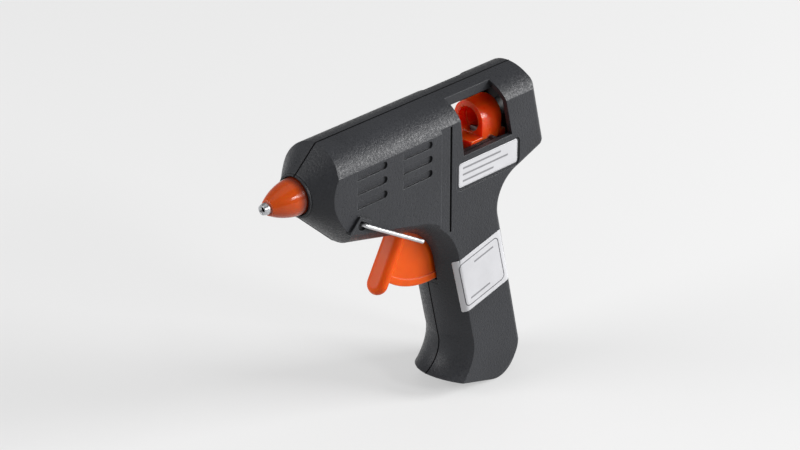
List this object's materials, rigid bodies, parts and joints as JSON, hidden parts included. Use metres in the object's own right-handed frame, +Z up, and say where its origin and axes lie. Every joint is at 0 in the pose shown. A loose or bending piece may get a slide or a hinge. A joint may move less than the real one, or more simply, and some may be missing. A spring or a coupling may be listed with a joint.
{
  "type": "hot glue gun",
  "caption": "Small hot glue gun with a moulded two-half body, heated nozzle, viewing window, trigger-driven stick feed and a folding wire stand.",
  "frame": {"origin": "centre of the stick inlet's mouth at the rear", "axes": "+X back along the glue stick, out of the inlet; +Y to the right-hand shell; +Z up"},
  "size_m": [0.1363, 0.032, 0.1304],
  "materials": {
    "shell_plastic": "fine sparked grain",
    "orange_plastic": "satin moulded",
    "guide_plastic": "satin moulded",
    "nozzle_metal": "turned",
    "chamber_metal": "as cast",
    "collar_resin": "moulded heat-proof resin",
    "heater_ceramic": "fired",
    "contact_brass": "rolled strip",
    "insulation_film": "amber film",
    "sleeve_silicone": "moulded",
    "bright_steel": "bright zinc plate",
    "dark_steel": "blackened",
    "wire_steel": "bright nickel plate"
  },
  "bodies": {
    "housing": {"left_shell": "shell_plastic", "right_shell": "shell_plastic", "housing_screws": "bright_steel", "stick_guide": "guide_plastic", "nozzle_cover": "orange_plastic", "nozzle": "nozzle_metal", "melt_chamber": "chamber_metal", "front_collar": "collar_resin", "rear_collar": "collar_resin", "ptc_heater": "heater_ceramic", "upper_electrode": "contact_brass", "lower_electrode": "contact_brass", "heater_film": "insulation_film", "heater_clip": "bright_steel", "stick_sleeve": "sleeve_silicone", "sleeve_clip": "bright_steel", "return_spring": "bright_steel"},
    "trigger": {"trigger": "orange_plastic"},
    "carriage": {"feed_carriage": "orange_plastic", "left_link": "dark_steel", "right_link": "dark_steel", "link_pins": "dark_steel", "jaw_pin": "bright_steel"},
    "jaw": {"grip_jaw": "bright_steel"},
    "stand": {"wire_stand": "wire_steel"}
  },
  "joints": [
    {"name": "trigger_pull", "type": "hinge", "parent": "housing", "child": "trigger", "pos_m": [-0.0525, 0, -0.022], "axis": [0, -1, 0], "range_deg": [0, 26], "stiffness_Nm_per_rad": 0.12, "springref_deg": -17.19},
    {"name": "carriage_feed", "type": "slide", "parent": "housing", "child": "carriage", "axis": [-1, 0, 0], "range_m": [0, 0.0081], "deforming": ["return_spring"]},
    {"name": "jaw_grip", "type": "hinge", "parent": "carriage", "child": "jaw", "pos_m": [-0.0192, 0, -0.0086], "axis": [0, 1, 0], "range_deg": [0, 6]},
    {"name": "stand_fold", "type": "hinge", "parent": "housing", "child": "stand", "pos_m": [-0.0984, 0, -0.0142], "axis": [0, 1, 0], "range_deg": [0, 85]}
  ],
  "couplings": [
    {"joint": "carriage_feed", "follows": "trigger_pull", "m_per_rad": 0.01784},
    {"joint": "jaw_grip", "follows": "trigger_pull", "ratio": 0.23}
  ]
}
